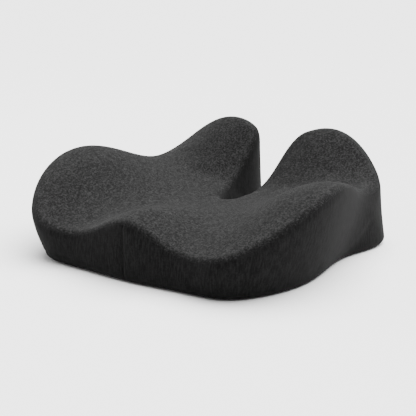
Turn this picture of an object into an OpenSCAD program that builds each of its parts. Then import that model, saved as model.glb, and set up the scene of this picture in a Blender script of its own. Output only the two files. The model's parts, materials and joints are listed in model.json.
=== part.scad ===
// Contoured seat cushion: a one-piece foam core with two rear wings and a tail-bone slot,
// an inner liner, a zipped knit cover and an anti-slip base. Front is -Y, the seat faces +Z.

/* [Plan] */
// Width between the side control points of the base outline
plan_w = 410; // [340:2:492]
// Length from the front edge to the control points of the wings
plan_l = 400; // [333:1:480]
// Width of the slot half way along
slot_w = 38; // [32:1:45]
// Width of the slot at its mouth
slot_mouth_w = 34; // [29:1:40]
// Depth of the slot, from the wings' control points to its own
slot_l = 204; // [170:1:245]

/* [Seat surface] */
// Height of the plain seat surface above the base fabric
seat_h = 53.5; // [44.5:0.5:64.5]
// Rise of the seat towards the rear, per millimetre
seat_rise = 0.085; // [0:0.005:0.1]
// Height that each rear wing adds
wing_h = 91; // [76:1:109]
// Height that each side lobe adds
side_h = 75; // [62:1:90]
// Height that the ridge at the middle of the front adds
pommel_h = 42; // [35:1:51]
// Height that the middle of the seat adds
mound_h = 8; // [0:1:12]

/* [Sides] */
// Radius of the rim between the seat and the side
rim_r = 13; // [10.5:0.5:16]
// Radius between the side and the base
base_r = 8; // [6.5:0.5:10]
// Overhang of the side lobes past the base
lobe_flare = 25; // [0:1:30]
// Overhang of the waist between a lobe and a wing
waist_flare = 24; // [0:1:28]
// Inward lean of the wings' sides and rear
rear_lean = 7; // [0:1:10]
// Inward lean of the slot's sides
slot_lean = 9.5; // [0:0.5:12]
// Rim radius on the wings, as a share of the rim radius elsewhere
wing_rim = 1.4; // [1:0.05:1.6]
// Rim radius at the waist and the slot's sides, as a share of it
waist_rim = 0.75; // [0.6:0.05:1]

/* [Layers] */
// Thickness of the knit cover
cover_t = 1.6; // [1.3:0.1:1.9]
// Thickness of the inner liner
liner_t = 0.6; // [0.5:0.1:0.8]
// Gap between one layer and the next
layer_gap = 0.3; // [0.25:0.05:0.4]

/* [Grip dots] */
// Height of the silicone dots under the base
dot_h = 0.8; // [0.6:0.1:1]
// Radius of the dots in the field
dot_r = 2.2; // [1.8:0.1:2.7]
// Radius of the dots along the edge
edge_dot_r = 4; // [3:0.5:5]
// Distance between dots
dot_pitch = 17; // [14:0.5:21]

/* [Zip] */
// Distance from the front control line of the plan to the zip
zip_y = 146; // [122:1:175]
// Length of the zip opening
zip_l = 280; // [230:2:290]
// Width of the opening between the two folded edges
zip_gap = 15; // [14:0.5:18]
// Width of each tape
tape_w = 13; // [11:0.5:15.5]
// Thickness of the tapes
tape_t = 0.6; // [0.5:0.1:0.7]
// Distance between the turns of a coil
coil_pitch = 2; // [1.7:0.1:2.4]
// Radius of the coil's thread
coil_r = 0.7; // [0.6:0.05:0.75]
// Length of the slider's body
slider_l = 10.5; // [9:0.5:12.5]
// Width of the slider's body
slider_w = 9; // [8:0.5:10.5]
// Thickness of the slider's plates
slider_t = 1; // [0.8:0.1:1.2]
// Length of the pull tab from its hinge
tab_l = 22; // [18:1:26]
// Width of the pull tab
tab_w = 6; // [5:0.5:7]

/* [Care label] */
// Width of the label
label_w = 34; // [28:1:40]
// Length of the label
label_l = 20; // [16:1:24]

/* [Hidden] */
$fn = 32;

cover_colour = [0.23, 0.23, 0.24];
base_colour = [0.12, 0.12, 0.13];

// How finely the skin is divided
span_cols = 4;                     // columns in each span from the front to a wing tip
quarter = 8 * span_cols;           // columns from the front centre to a wing tip
half = 2 * quarter;                // and from there as many to the slot's tip
cols = 2 * half;
seat_rows = 5;
rim_rows = 3;
wall_rows = 2;
fillet_rows = 2;
seam_row = seat_rows + 2;          // the top panel ends two thirds of the way round the rim
last_row = seat_rows + rim_rows + wall_rows + fillet_rows;

half_w = plan_w / 2;

// Half of the plan's control points [x, y, overhang, share of the rim radius], from the front
// centre to the slot's tip. The outline is the smooth closed curve that they pull towards them.
half_plan = [
  [0, -0.015 * plan_l, 0, 1],
  [0.4 * half_w, 0.015 * plan_l, 0, 1],
  [0.75 * half_w, 0.005 * plan_l, lobe_flare / 2, 1],
  [0.935 * half_w, 0.175 * plan_l, lobe_flare, 1],
  [half_w, 0.35 * plan_l, lobe_flare, 1],
  [0.873 * half_w, 0.606 * plan_l, waist_flare, waist_rim],
  [0.951 * half_w, 0.731 * plan_l, -rear_lean / 7, wing_rim],
  [0.992 * half_w, 0.898 * plan_l, -1.5 * rear_lean, wing_rim],
  [0.625 * half_w, 1.012 * plan_l, -rear_lean, wing_rim],
  [slot_mouth_w / 2, 0.993 * plan_l, -rear_lean / 2, wing_rim],
  [slot_w / 2, plan_l - 0.505 * slot_l, -slot_lean, waist_rim],
  [0, plan_l - slot_l, -2, 1]
];
spans = len(half_plan) - 1;
plan = concat(half_plan, [for (i = [spans - 1:-1:1]) mirrored(half_plan[i])]);

// Line that the seat's surface is spread from, front centre to the middle of a wing
spine = [[0, 0.32 * plan_l], [0.36 * half_w, 0.36 * plan_l], [0.5 * half_w, 0.8 * plan_l]];

function mirrored(p) = [for (i = [0:len(p) - 1]) i == 0 ? -p[0] : p[i]];
function unit(v) = v / norm(v);
function flat(p) = [p[0], p[1]];

// Closed cubic spline through a control polygon, and its direction
function spline(c, t) =
  let (m = len(c), i = floor(t), u = t - i, w = 1 - u)
  (w ^ 3 * c[(i + m - 1) % m] + (3 * u ^ 3 - 6 * u ^ 2 + 4) * c[i % m]
    + (3 * w ^ 3 - 6 * w ^ 2 + 4) * c[(i + 1) % m] + u ^ 3 * c[(i + 2) % m]) / 6;
function spline_way(c, t) = flat(spline(c, t + 0.01) - spline(c, t + len(c) - 0.01));

// Place of a column on the outline, for the half that has x > 0
function turn_of(j) = j <= quarter ? j / span_cols : 8 + (j - quarter) * (spans - 8) / quarter;

// Soft raised areas: one function for each, added up
function swell(d, spread, power = 1) =
  exp(-0.5 * pow((d[0] / spread[0]) ^ 2 + (d[1] / spread[1]) ^ 2, power));
function turned(d, a) = [d[0] * cos(a) + d[1] * sin(a), d[1] * cos(a) - d[0] * sin(a)];
wing_at = [0.43 * half_w, 1.063 * plan_l];
side_at = [0.97 * half_w, 0.368 * plan_l];
pommel_at = [0, 0.046 * plan_l];
mound_at = [0, 0.372 * plan_l];
wing_spread = [77.5, 88];
side_spread = [70, 97.5];
pommel_spread = [45, 67];
mound_spread = [72, 81];
wing_turn = -10;
wing_power = 1.35;

function seat_z(p) =
  let (q = [abs(p[0]), p[1]], r = [-q[0], q[1]])
  seat_h + dot_h + seat_rise * (p[1] - 0.487 * plan_l)
  + wing_h * (swell(turned(q - wing_at, wing_turn), wing_spread, wing_power)
    + swell(turned(r - wing_at, wing_turn), wing_spread, wing_power))
  + side_h * (swell(q - side_at, side_spread) + swell(r - side_at, side_spread))
  + pommel_h * swell(p - pommel_at, pommel_spread)
  + mound_h * swell(p - mound_at, mound_spread);

// One column of the skin, from the spine over the seat, round the rim and down to the base
wall_foot = base_r + dot_h;
function column(j) =
  let (
    t = turn_of(j),
    c = spline(plan, t),
    way = unit(spline_way(plan, t)),
    out = [way[1], -way[0]],
    r = rim_r * c[3],
    foot = flat(c),
    rim = foot + out * c[2],
    near = rim - out * r,
    slope = seat_z(near + out) - seat_z(near - out),
    a0 = -atan(max(-2.5, min(2.5, slope / 2))),
    inner = rim - out * r * (1 - sin(a0)),
    rim_z = seat_z(inner) - r * cos(a0),
    k = min(j, half - j) / quarter,
    from = (1 - k) ^ 2 * spine[0] + 2 * k * (1 - k) * spine[1] + k ^ 2 * spine[2]
  )
  [
    for (i = [0:seat_rows]) let (s = (i / seat_rows) ^ 0.85, p = from + (inner - from) * s)
      [p[0], p[1], seat_z(p)],
    for (i = [1:rim_rows]) let (a = a0 + (90 - a0) * i / rim_rows)
      let (p = inner + out * r * (sin(a) - sin(a0))) [p[0], p[1], rim_z + r * cos(a)],
    for (i = [1:wall_rows]) let (v = i / wall_rows, p = foot + out * c[2] * (1 - v / 2 - v ^ 2 / 2))
      [p[0], p[1], rim_z + (wall_foot - rim_z) * v],
    for (i = [1:fillet_rows]) let (b = 90 * i / fillet_rows, p = foot - out * base_r * (1 - cos(b)))
      [p[0], p[1], wall_foot - base_r * sin(b)]
  ];

right_half = [for (j = [0:half]) column(j)];
raw = [for (j = [0:cols - 1]) j <= half ? right_half[j] : [for (p = right_half[cols - j]) mirrored(p)]];

// The origin is under the middle of the whole cushion
all_y = [for (c = right_half, p = c) p[1]];
mid_y = (min(all_y) + max(all_y)) / 2;
skin = [for (c = raw) [for (p = c) p - [0, mid_y, 0]]];

// Direction out of the skin at each point
function at(i, j) = skin[(j + cols) % cols][i];
function seat_way(p) =
  let (
    q = [p[0], p[1] + mid_y],
    dx = seat_z(q + [1, 0]) - seat_z(q - [1, 0]),
    dy = seat_z(q + [0, 1]) - seat_z(q - [0, 1])
  )
  unit([-dx / 2, -dy / 2, 1]);
function way_out(i, j) =
  i == last_row ? [0, 0, -1]
  : i < seat_rows ? seat_way(at(i, j))
  : unit(cross(at(i + 1, j) - at(i - 1, j), at(i, j + 1) - at(i, j - 1)));
ways = [for (j = [0:cols - 1]) [for (i = [0:last_row]) way_out(i, j)]];
function under(i, j, depth) = let (k = (j + cols) % cols) skin[k][i] - ways[k][i] * depth;

// Points of a closed layer: the spine's points once, then ring by ring
function spine_columns() = [for (j = [0:quarter]) j, for (j = [1:quarter]) cols - j];
function layer(depth) = concat(
  [for (j = spine_columns()) under(0, j, depth)],
  [for (i = [1:last_row], j = [0:cols - 1]) under(i, j, depth)]);
function spine_id(j) =
  let (k = j <= half ? j : cols - j, s = min(k, half - k))
  s == 0 ? 0 : j < half ? s : s + quarter;
spine_n = 2 * quarter + 1;
layer_n = spine_n + last_row * cols;
function id(i, j) = let (k = (j + cols) % cols) i == 0 ? spine_id(k) : spine_n + (i - 1) * cols + k;
function quad(a, b, c, d) = [[a, b, c], [a, c, d]];
function skin_faces(to_row) = [for (i = [0:to_row - 1], j = [0:cols - 1])
  each quad(id(i, j), id(i, j + 1), id(i + 1, j + 1), id(i + 1, j))];
function turned_over(faces, shift) = [for (f = faces) [f[2] + shift, f[1] + shift, f[0] + shift]];

// A shell that is open below its last row
module shell(depth, thick, to_row) {
  last = id(to_row, cols - 1);
  points = [for (l = [layer(depth), layer(depth + thick)]) each [for (k = [0:last]) l[k]]];
  n = last + 1;
  faces = skin_faces(to_row);
  edge = [for (j = [0:cols - 1])
    let (a = id(to_row, j), b = id(to_row, j + 1)) each quad(a, b, b + n, a + n)];
  polyhedron(points, concat(faces, turned_over(faces, n), edge));
}

// A closed solid that fills the skin below a depth, with a box-shaped recess in its underside.
// corners are the recess's four corners, from its front right to its front left and round.
module filled(depth, corners, roof_z) {
  z = dot_h + depth;
  n = layer_n;
  near = [for (j = [0:half]) abs(at(last_row, j)[1] - zip_at) + (j < quarter ? 0 : plan_l)];
  right = search(min(near), near)[0];
  left = cols - right;
  points = concat(layer(depth), [for (h = [z, roof_z], c = corners) [c[0], c[1], h]]);
  tip = id(last_row, half);
  front = concat([for (j = [left:cols + right]) id(last_row, j)], [n, n + 1]);
  rear_right = concat([for (j = [right:half]) id(last_row, j)], [n + 3]);
  rear_left = concat([for (j = [half:left]) id(last_row, j)], [n + 2]);
  ends = [[n, id(last_row, right), n + 3], [n + 2, id(last_row, left), n + 1], [tip, n + 2, n + 3]];
  walls = [for (k = [0:3]) each quad(n + (k + 1) % 4, n + k, n + 4 + k, n + 4 + (k + 1) % 4)];
  roof = [n + 7, n + 6, n + 5, n + 4];
  polyhedron(points, concat(skin_faces(last_row), [front, rear_right, rear_left, roof], ends, walls));
}

// A strip of the side, from the seam to the base
module band(depth, thick, from_col, to_col) {
  rows = last_row - seam_row;
  wide = to_col - from_col;
  n = (rows + 1) * (wide + 1);
  points = [for (d = [depth, depth + thick], i = [seam_row:last_row], j = [from_col:to_col])
    under(i, j, d)];
  function at_band(i, j) = i * (wide + 1) + j;
  function rim(a, b) = quad(a, b, b + n, a + n);
  faces = [for (i = [0:rows - 1], j = [0:wide - 1])
    each quad(at_band(i, j), at_band(i, j + 1), at_band(i + 1, j + 1), at_band(i + 1, j))];
  low = [for (j = [0:wide - 1]) each rim(at_band(rows, j), at_band(rows, j + 1))];
  top = [for (j = [0:wide - 1]) each rim(at_band(0, j + 1), at_band(0, j))];
  near = [for (i = [0:rows - 1]) each rim(at_band(i, 0), at_band(i + 1, 0))];
  far = [for (i = [0:rows - 1]) each rim(at_band(i + 1, wide), at_band(i, wide))];
  polyhedron(points, concat(faces, turned_over(faces, n), low, top, near, far));
}

// Levels, from the floor up
fabric_z = dot_h;
liner_depth = cover_t + layer_gap;
foam_depth = liner_depth + liner_t + layer_gap;
liner_z = dot_h + liner_depth;
hinge_z = fabric_z + cover_t + 1;
plate_gap = 1.5;                              // hinge centre to the slider's lower plate
slider_z = hinge_z + plate_gap;
coil_z = slider_z + slider_t + coil_r + 0.4;
tape_z = coil_z + coil_r + 0.2;
slider_top = tape_z + tape_t + 0.3 + slider_t;
recess_h = slider_top + 1;                    // roof of the space over the zip

zip_at = zip_y - mid_y;
fold_y = zip_gap / 2;
recess_y = fold_y + cover_t + tape_w / 2 + 1;
recess_x = zip_l / 2 + 14;
lug_t = 1.1;
lug_r = 1.25;
pin_r = 0.6;
pin_play = 0.08;
closed_x = -zip_l / 2 + 14;                   // hinge pin with the zip shut
open_x = zip_l / 2 - tab_l - 6;               // hinge pin with the zip open
coil_from = closed_x - slider_l / 2;
coil_to = open_x + slider_l / 2;
stop_l = 3;
stop_gap = 0.4;

// Outline of the base, a given distance inside the foot of the side
function base_outline(inside) = [for (j = [0:cols - 1])
  let (w = unit(flat(at(last_row, j + 1)) - flat(at(last_row, j - 1))))
  flat(at(last_row, j)) - [w[1], -w[0]] * inside];
module base_plate(z, thick, inside)
  translate([0, 0, z]) linear_extrude(thick) polygon(base_outline(inside));

module foam_core() {
  x = recess_x + layer_gap;
  y = recess_y + liner_t + layer_gap;
  corners = [for (c = [[1, -1], [-1, -1], [-1, 1], [1, 1]]) [c[0] * x, zip_at + c[1] * y]];
  color("khaki") filled(foam_depth, corners, recess_h + liner_t + layer_gap);
}

module liner_wrap() color("whitesmoke") shell(liner_depth, liner_t, last_row);

// Flat liner with a channel that keeps the foam off the zip
module liner_base() color("gainsboro") difference() {
  union() {
    base_plate(liner_z, liner_t, 0.1);
    translate([-recess_x, zip_at - recess_y - liner_t, liner_z])
      cube([2 * recess_x, 2 * (recess_y + liner_t), recess_h + liner_t - liner_z]);
  }
  translate([-recess_x + liner_t, zip_at - recess_y, liner_z - 1])
    cube([2 * (recess_x - liner_t), 2 * recess_y, recess_h - liner_z + 1]);
}

module cover_top_panel() color(cover_colour) shell(0, cover_t, seam_row);
module cover_side_band_right() color(cover_colour * 0.8) band(0, cover_t, 0, half);
module cover_side_band_left() color(cover_colour * 0.7) band(0, cover_t, half, cols);

// Half of the base fabric, its edge folded up along the zip. way is 1 at the front, -1 at the rear.
module base_panel(way) {
  big = plan_w + plan_l;
  butt = 0.1;
  difference() {
    base_plate(fabric_z, cover_t, 0.1);
    translate([-big, way > 0 ? zip_at - butt : zip_at + butt - big, fabric_z - 1])
      cube([2 * big, big, cover_t + 2]);
    translate([-zip_l / 2, zip_at - fold_y, fabric_z - 1])
      cube([zip_l, zip_gap, cover_t + 2]);
  }
  flange_w = cover_t + tape_w / 2 - 0.5;
  flange_top = tape_z - 0.1;
  translate([0, zip_at, 0]) mirror([0, way > 0 ? 0 : 1, 0]) {
    translate([-zip_l / 2, -fold_y - cover_t, fabric_z]) cube([zip_l, cover_t, flange_top - fabric_z]);
    translate([-zip_l / 2, -fold_y - flange_w, flange_top - cover_t]) cube([zip_l, flange_w, cover_t]);
  }
}
module base_front_panel() color(base_colour) base_panel(1);
module base_rear_panel() color(base_colour * 0.9) base_panel(-1);

// Is a point inside a closed outline
function crossings(p, o) = [for (i = [0:len(o) - 1]) let (a = o[i], b = o[(i + 1) % len(o)])
  if ((a[1] > p[1]) != (b[1] > p[1]))
    if (p[0] < a[0] + (p[1] - a[1]) * (b[0] - a[0]) / (b[1] - a[1])) 1];
function is_in(p, o) = len(crossings(p, o)) % 2 == 1;

edge_inset = edge_dot_r + 2;
field = base_outline(edge_inset + edge_dot_r + dot_r + 2);
label_at = [0, zip_at + fold_y + cover_t + 8 + label_l / 2];
function off_label(p) =
  abs(p[0] - label_at[0]) > label_w / 2 + dot_r + 1
  || abs(p[1] - label_at[1]) > label_l / 2 + dot_r + 1;
reach_x = ceil(half_w / dot_pitch) + 1;
reach_y = ceil(plan_l / dot_pitch);
dots = [for (i = [-reach_y:reach_y], k = [-reach_x:reach_x])
  let (p = [(k + (abs(i) % 2) / 2) * dot_pitch, zip_at + (i + 0.5) * dot_pitch * 0.87])
  if (abs(p[1] - zip_at) > fold_y + cover_t + dot_r + 3 && off_label(p) && is_in(p, field)) p];

module dot_field(way) for (p = dots) if ((p[1] - zip_at) * way > 0)
  translate([p[0], p[1], 0.1]) cylinder(r = dot_r, h = dot_h - 0.1, $fn = 16);
module grip_dots_front() color("dimgray") dot_field(-1);
module grip_dots_rear() color("gray") dot_field(1);
module grip_dots_edge() color("slategray") for (j = [4:8:cols - 1]) translate(base_outline(edge_inset)[j])
  cylinder(r = edge_dot_r, h = dot_h);

// Front half of the zip; the rear half is the same, turned over and set half a turn along
module tape(way) translate([0, zip_at, tape_z]) mirror([0, way > 0 ? 0 : 1, 0])
  translate([-zip_l / 2 - 8, -tape_w - 1, 0]) cube([zip_l + 16, tape_w, tape_t]);
module zipper_tape_front() color([0.1, 0.1, 0.11]) tape(1);
module zipper_tape_rear() color([0.13, 0.13, 0.14]) tape(-1);

module coil(way) {
  first = coil_from + coil_r + (way > 0 ? 0 : coil_pitch / 2);
  for (x = [first:coil_pitch:coil_to - coil_r])
    translate([x, zip_at - way * 0.45, coil_z]) rotate([way * 90, 0, 0])
      cylinder(r = coil_r, h = 2.6, $fn = 16);
}
module zipper_coil_front() color("black") coil(1);
module zipper_coil_rear() color([0.05, 0.05, 0.05]) coil(-1);

module rounded_plate(l, w, t, r) hull() for (x = [-1, 1], y = [-1, 1])
  translate([x * (l / 2 - r), y * (w / 2 - r), 0]) cylinder(r = r, h = t);

module zipper_slider() color("dimgray") translate([closed_x, zip_at, 0]) {
  web_t = 0.5;
  side_t = 0.7;
  inner_h = slider_top - slider_t - slider_z - slider_t;
  translate([0, 0, slider_z]) rounded_plate(slider_l, slider_w, slider_t, 2);
  translate([0, 0, slider_top - slider_t]) rounded_plate(slider_l, slider_w, slider_t, 2);
  translate([-slider_l / 2 + 1, -web_t / 2, slider_z + slider_t]) cube([slider_l - 2, web_t, inner_h]);
  for (s = [-1, 1]) {
    translate([-slider_l / 2 + 2, s * (slider_w - side_t) / 2 - side_t / 2, slider_z + slider_t])
      cube([slider_l - 4, side_t, tape_z - 0.3 - slider_z - slider_t]);
    lug_y = s * (tab_w / 2 - lug_t / 2 + 0.1);
    translate([0, lug_y + lug_t / 2, hinge_z]) rotate([90, 0, 0]) cylinder(r = lug_r, h = lug_t);
    translate([-lug_r, lug_y - lug_t / 2, hinge_z]) cube([2 * lug_r, lug_t, plate_gap]);
  }
  translate([0, tab_w / 2, hinge_z]) rotate([90, 0, 0]) cylinder(r = pin_r, h = tab_w);
}

module zipper_pull_tab() color("silver") translate([closed_x, zip_at, hinge_z]) {
  knuckle_w = tab_w - 2 * lug_t - 0.4;
  tab_t = 1.2;
  difference() {
    union() {
      rotate([90, 0, 0]) cylinder(r = 1.3, h = knuckle_w, center = true);
      translate([0, -knuckle_w / 2, -tab_t / 2]) cube([5, knuckle_w, tab_t]);
      translate([(4 + tab_l) / 2, 0, -tab_t / 2]) rounded_plate(tab_l - 4, tab_w, tab_t, 2.2);
    }
    rotate([90, 0, 0]) cylinder(r = pin_r + pin_play, h = tab_w, center = true);
    translate([tab_l - 4.5, 0, -tab_t]) cylinder(r = 1.4, h = 2 * tab_t);
  }
}

module stop_block() translate([-stop_l / 2, -2.6, coil_z - coil_r]) cube([stop_l, 5.2, 2 * coil_r]);
module zipper_top_stop() color("silver")
  translate([coil_from - stop_gap - stop_l / 2, zip_at, 0]) stop_block();
module zipper_bottom_stop() color("silver")
  translate([coil_to + stop_gap + stop_l / 2, zip_at, 0]) stop_block();

stitch_pitch = 4.5;
stitch_l = 3;
stitch_t = 0.35;
module stitches(way) for (x = [-zip_l / 2 + 3:stitch_pitch:zip_l / 2 - 5])
  translate([x, zip_at - way * (fold_y + 2.2) - 0.3, fabric_z - stitch_t]) cube([stitch_l, 0.6, stitch_t]);
module zip_stitches_front() color("gray") stitches(1);
module zip_stitches_rear() color("gray") stitches(-1);

module zip_bar_tacks() color("gray") for (x = [-1, 1])
  translate([x * (zip_l / 2 + 1.5) - 0.75, zip_at - fold_y - 1, fabric_z - stitch_t])
    cube([1.5, zip_gap + 2, stitch_t]);

module care_label() color("white")
  translate([label_at[0] - label_w / 2, label_at[1] - label_l / 2, fabric_z - 0.45])
    cube([label_w, label_l, 0.4]);

foam_core();
liner_wrap();
liner_base();
cover_top_panel();
cover_side_band_right();
cover_side_band_left();
base_front_panel();
base_rear_panel();
grip_dots_edge();
grip_dots_front();
grip_dots_rear();
zipper_tape_front();
zipper_tape_rear();
zipper_coil_front();
zipper_coil_rear();
zipper_slider();
zipper_pull_tab();
zipper_top_stop();
zipper_bottom_stop();
zip_stitches_front();
zip_stitches_rear();
zip_bar_tacks();
care_label();
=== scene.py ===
import json
import math

import bpy
import numpy as np
from mathutils import Matrix, Vector
from mathutils.bvhtree import BVHTree

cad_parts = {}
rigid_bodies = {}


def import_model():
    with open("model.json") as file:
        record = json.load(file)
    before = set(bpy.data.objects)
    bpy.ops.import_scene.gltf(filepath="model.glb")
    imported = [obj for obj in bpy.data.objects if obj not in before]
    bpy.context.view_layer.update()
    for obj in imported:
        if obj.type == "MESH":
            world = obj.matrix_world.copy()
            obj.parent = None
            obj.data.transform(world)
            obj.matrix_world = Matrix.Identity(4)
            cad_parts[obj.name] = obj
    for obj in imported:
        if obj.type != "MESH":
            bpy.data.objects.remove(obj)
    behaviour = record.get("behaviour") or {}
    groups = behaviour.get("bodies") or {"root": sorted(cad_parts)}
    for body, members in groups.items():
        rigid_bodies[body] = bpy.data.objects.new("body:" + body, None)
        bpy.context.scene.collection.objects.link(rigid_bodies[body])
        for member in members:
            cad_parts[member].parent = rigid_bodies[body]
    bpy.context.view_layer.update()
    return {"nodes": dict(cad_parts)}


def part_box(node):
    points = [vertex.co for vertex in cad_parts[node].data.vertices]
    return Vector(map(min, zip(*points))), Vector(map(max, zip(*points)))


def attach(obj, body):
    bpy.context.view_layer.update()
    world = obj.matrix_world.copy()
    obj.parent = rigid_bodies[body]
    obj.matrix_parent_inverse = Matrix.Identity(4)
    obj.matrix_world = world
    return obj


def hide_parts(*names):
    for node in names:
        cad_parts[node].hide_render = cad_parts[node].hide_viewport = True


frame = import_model()
mm = 0.001


# Selecting, editing and applying, as by hand

def pick(*objs):
    bpy.ops.object.select_all(action="DESELECT")
    for obj in objs:
        obj.select_set(True)
    bpy.context.view_layer.objects.active = objs[0]


def edit(obj):
    pick(obj)
    bpy.ops.object.mode_set(mode="EDIT")


def done():
    bpy.ops.object.mode_set(mode="OBJECT")


def modify(obj, kind, **settings):
    pick(obj)
    mod = obj.modifiers.new(kind.title(), kind)
    for key, value in settings.items():
        setattr(mod, key, value)
    bpy.ops.object.modifier_apply(modifier=mod.name)


def smooth(obj):
    pick(obj)
    bpy.ops.object.shade_smooth()


def smoothByAngle(piece, angle):
    pick(piece)
    bpy.ops.object.shade_smooth_by_angle(angle=math.radians(angle))


def settle(piece, body, slot, *nodes):  # where a finished piece rides and what it stands for
    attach(piece, body)
    if nodes:
        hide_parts(*nodes)


# Shader sums are written as plain Python on this class

class Wire:
    def __init__(self, tree, socket=None):
        self.tree, self.socket = tree, socket

    def node(self, kind, settings=None, out=0, **inputs):
        node = self.tree.nodes.new("ShaderNode" + kind)
        for key, value in (settings or {}).items():
            if key == "stops":
                ramp = node.color_ramp.elements
                while len(ramp) < len(value):
                    ramp.new(0.5)
                for stop, (place, shade) in zip(ramp, value):
                    stop.position = place
                    stop.color = (*shade, 1)
            else:
                setattr(node, key, value)
        for key, value in inputs.items():  # i0, i1 are sockets by number, the rest by name
            numbered = key[0] == "i" and key[1:].isdigit()
            slot = node.inputs[int(key[1:]) if numbered else key.replace("_", " ")]
            if isinstance(value, Wire):
                self.tree.links.new(value.socket, slot)
            else:
                slot.default_value = value
        return Wire(self.tree, node.outputs[out])

    def math(self, operation, *others):
        inputs = {"i%d" % i: v for i, v in enumerate((self, *others))}
        return self.node("Math", {"operation": operation}, **inputs)

    def __add__(self, other):
        return self.math("ADD", other)

    __radd__ = __add__

    def __mul__(self, other):
        return self.math("MULTIPLY", other)

    __rmul__ = __mul__

    def __sub__(self, other):
        return self.math("SUBTRACT", other)

    def __rsub__(self, other):
        return self.node("Math", {"operation": "SUBTRACT"}, i0=other, i1=self)

    def axes(self):  # x, y and z as three wires
        return [self.node("SeparateXYZ", out=k) for k in range(3)]

    def sine(self):
        return self.math("SINE")

    def clip(self):
        return self.math("MAXIMUM", 0).math("MINIMUM", 1)

    def noise(self, scale, detail=2, rough=0.5):
        return self.node("TexNoise", Vector=self, Scale=scale, Detail=detail, Roughness=rough)

    def stretch(self, x, y, z):
        return self.node("VectorMath", {"operation": "MULTIPLY"}, i0=self, i1=(x, y, z))

    def ramp(self, *stops):
        return self.node("ValToRGB", {"stops": stops}, Fac=self)

    def greys(self, *stops):
        return self.ramp(*((place, (level,) * 3) for place, level in stops))

    def between(self, low, high):  # this 0 to 1 value picks a colour between two
        return self.node("Mix", {"data_type": "RGBA"}, out=2, i0=self, i6=low, i7=high)

    def bump(self, strength, distance):
        return self.node("Bump", Height=self, Strength=strength, Distance=distance)


def finish(name, build, **fixed):
    material = bpy.data.materials.new(name)
    material.use_nodes = True
    tree = material.node_tree
    shader = tree.nodes["Principled BSDF"]
    for key, value in fixed.items():
        shader.inputs[key.replace("_", " ")].default_value = value
    for key, value in build(Wire(tree).node("TexCoord", out="Object")).items():
        tree.links.new(value.socket, shader.inputs[key.replace("_", " ")])
    return material


heather = {
    "grain": 470, "clump": 190, "fibre": 1300, "patch": 70, "dark": 0.0022, "mid": 0.0092, "light": 0.0235,
    "shade": 9 * mm, "shadeDepth": 0.42, "raise": 1.1 * mm,
}


def heatherBuild(place):
    h = heather
    grain = place.stretch(0.8, 1, 1).noise(h["grain"], 3, 0.72)
    fibre = place.stretch(1, 0.6, 1).noise(h["fibre"], 1)
    clump = place.stretch(1.5, 0.8, 1).noise(h["clump"], 2, 0.6)
    patch = place.noise(h["patch"], 3, 0.6)
    blend = (grain - 0.5) * 3.4 + (clump - 0.5) * 1.1 + (fibre - 0.5) * 0.8 + (patch - 0.5) * 0.5 + 0.5
    inside = place.node("Attribute", {"attribute_name": "fromSeam"}, out=2) * (1 / h["shade"])
    blend = blend - (1 - inside.clip()) * h["shadeDepth"]  # painted shade: the top panel darkens within this distance of the rim seam, where the rim turns away from the light
    return {"Base_Color": blend.clip().greys((0.05, h["dark"]), (0.5, h["mid"]), (0.97, h["light"])),
            "Normal": (grain * 0.8 + fibre * 0.4).bump(0.8, h["raise"]),
            "Roughness": 0.86 + fibre * 0.14}


# painted shade: the rib levels sit about three times darker than the heather's, for the side walls that face
# away from the overhead light
rib = {"pitch": 2.7 * mm, "streak": (430, 70, 1), "wobble": (60, 14, 1), "grain": 520,
       "dark": 0.0011, "mid": 0.0030, "light": 0.0080, "raise": 0.7 * mm}


def ribBuild(place):
    cloth = place.node("TexCoord", out="UV")
    wobble = cloth.stretch(*rib["wobble"]).noise(1, 1)
    wave = (cloth.axes()[0] * (2 * math.pi / rib["pitch"]) + wobble * 2.2).sine() * 0.5 + 0.5
    streak = cloth.stretch(*rib["streak"]).noise(1, 2, 0.6)
    grain = place.noise(rib["grain"], 2, 0.6)
    blend = (streak - 0.5) * 1.6 + (grain - 0.5) * 1.1 + (wave - 0.5) * 0.42 + 0.5
    return {"Base_Color": blend.clip().greys((0.1, rib["dark"]), (0.5, rib["mid"]), (0.95, rib["light"])),
            "Normal": (wave * 0.7 + streak * 0.3 + grain * 0.3).bump(0.55, rib["raise"]),
            "Roughness": 0.86 + grain * 0.14}


openCell = {"large": 620, "small": 1500, "patch": 22, "hollowShade": (0.42, 0.36, 0.22),
            "wall": (0.66, 0.59, 0.42), "skin": (0.78, 0.72, 0.56)}


def foamBuild(place):  # open cells of two sizes in pale foam, with painted shade darkening the hollow of each cell
    c = openCell
    large = place.node("TexVoronoi", Vector=place, Scale=c["large"])
    small = place.node("TexVoronoi", Vector=place, Scale=c["small"])
    patch = place.noise(c["patch"], 3, 0.6)
    tone = (large * 0.7 + small * 0.5 + (patch - 0.5) * 0.5).clip()
    return {"Base_Color": tone.ramp((0.05, c["hollowShade"]), (0.35, c["wall"]), (0.9, c["skin"])),
            "Normal": (large * 0.6 + small * 0.4).bump(0.6, 1 * mm),
            "Roughness": 0.8 + patch * 0.15}


jersey = {"wale": 5200, "course": 4100, "slub": (90, 600, 1), "dark": (0.50, 0.49, 0.46),
          "mid": (0.68, 0.67, 0.64), "light": (0.80, 0.79, 0.76)}


def jerseyBuild(place):  # fine upright wales crossed by courses
    cloth = place.node("TexCoord", out="UV")
    u, v, _ = cloth.axes()
    wale = (u * jersey["wale"]).sine()
    course = (v * jersey["course"] + wale * 0.6).sine()
    slub = cloth.stretch(*jersey["slub"]).noise(1, 2, 0.6)
    tone = (wale * 0.12 + course * 0.08 + (slub - 0.5) * 0.7 + 0.55).clip()
    return {"Base_Color": tone.ramp((0.1, jersey["dark"]), (0.55, jersey["mid"]), (0.95, jersey["light"])),
            "Normal": (wale * 0.5 + course * 0.5).bump(0.35, 0.4 * mm),
            "Roughness": 0.8 + slub * 0.15}


weave = {"pitch": 1.5 * mm, "fibre": 1400, "patch": 30, "dark": 0.004, "mid": 0.010, "light": 0.024}


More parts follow.
